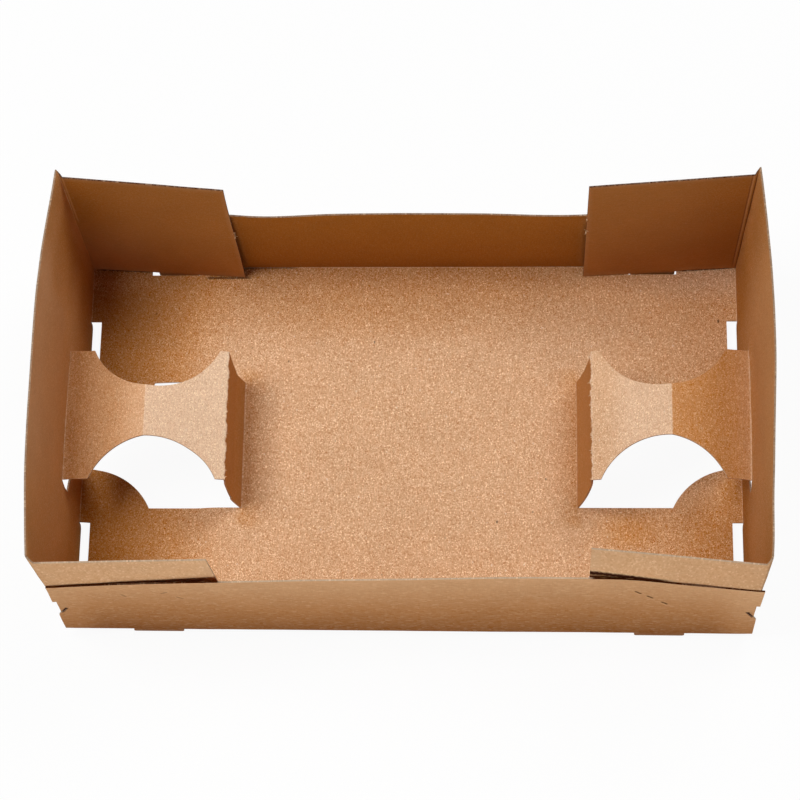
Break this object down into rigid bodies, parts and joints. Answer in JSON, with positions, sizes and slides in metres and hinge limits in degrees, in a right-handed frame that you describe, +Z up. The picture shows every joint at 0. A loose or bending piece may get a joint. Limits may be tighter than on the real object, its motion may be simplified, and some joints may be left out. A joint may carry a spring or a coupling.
{
  "type": "cardboard tray box",
  "caption": "Folded kraft board carry tray: low front and back walls, taller bowed side walls with locked corner flaps, and a pop-up cup shelf at each side.",
  "frame": {"origin": "under the middle of the tray, on the surface that its side lugs stand on", "axes": "+X to the tray's right along its length, +Y to its back, +Z up"},
  "size_m": [0.3334, 0.1896, 0.1167],
  "materials": {
    "kraft_board": "uncoated brown kraft"
  },
  "bodies": {
    "root": {"tray_sheet": "kraft_board"}
  },
  "joints": []
}
